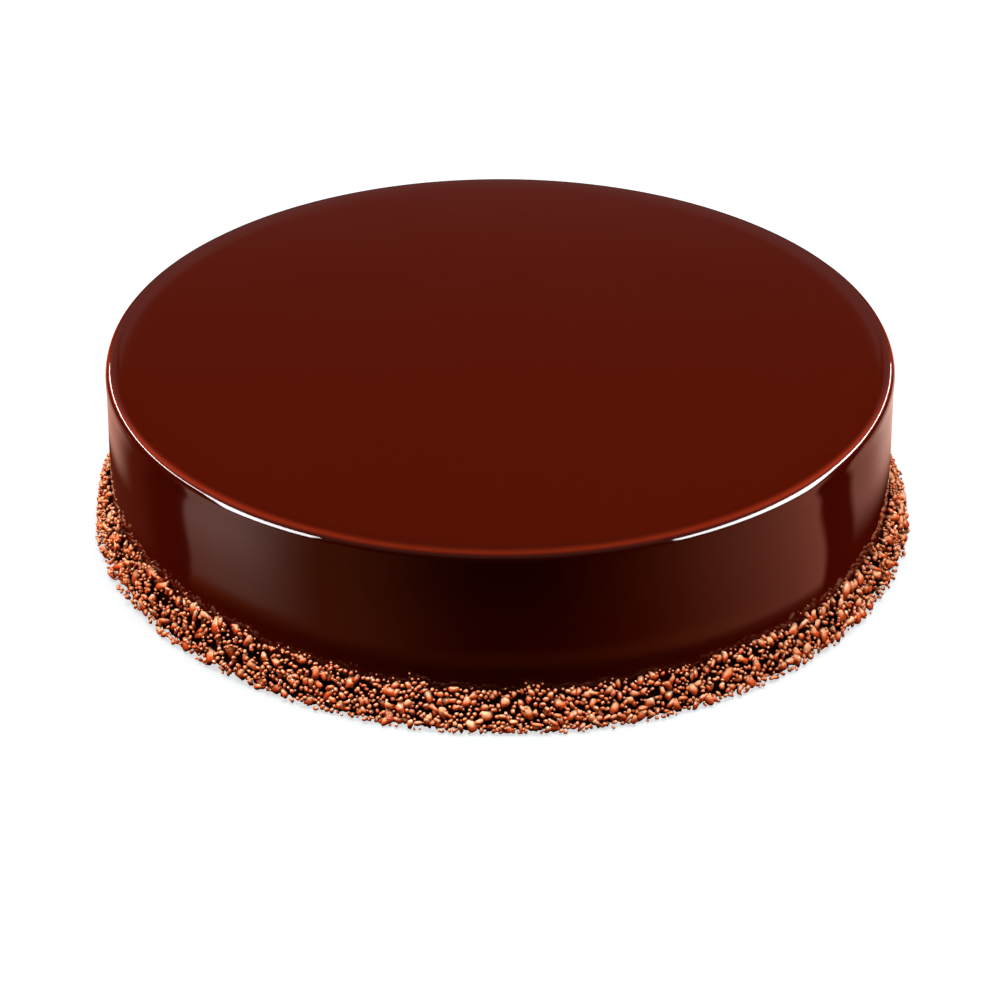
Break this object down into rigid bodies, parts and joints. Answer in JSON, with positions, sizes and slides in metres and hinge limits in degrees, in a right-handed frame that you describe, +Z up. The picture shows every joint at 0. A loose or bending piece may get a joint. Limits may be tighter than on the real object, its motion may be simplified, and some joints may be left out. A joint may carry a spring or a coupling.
{
  "type": "chocolate caramel cake",
  "caption": "Round mirror-glazed chocolate caramel cake, uncut, with a band of chocolate crunch round its foot, for a table, counter or display.",
  "frame": {"origin": "centre of the flat base, where the cake stands", "axes": "+Z up along the cake's axis; the front seen in the picture faces -Y, with +X to its right"},
  "size_m": [0.2089, 0.2117, 0.048],
  "materials": {
    "glaze": "poured dark chocolate caramel mirror glaze, glossy and smooth",
    "crunch": "milk chocolate and caramel crunch in uneven rounded pieces, satin"
  },
  "bodies": {
    "root": {"cake": "glaze"}
  },
  "joints": []
}
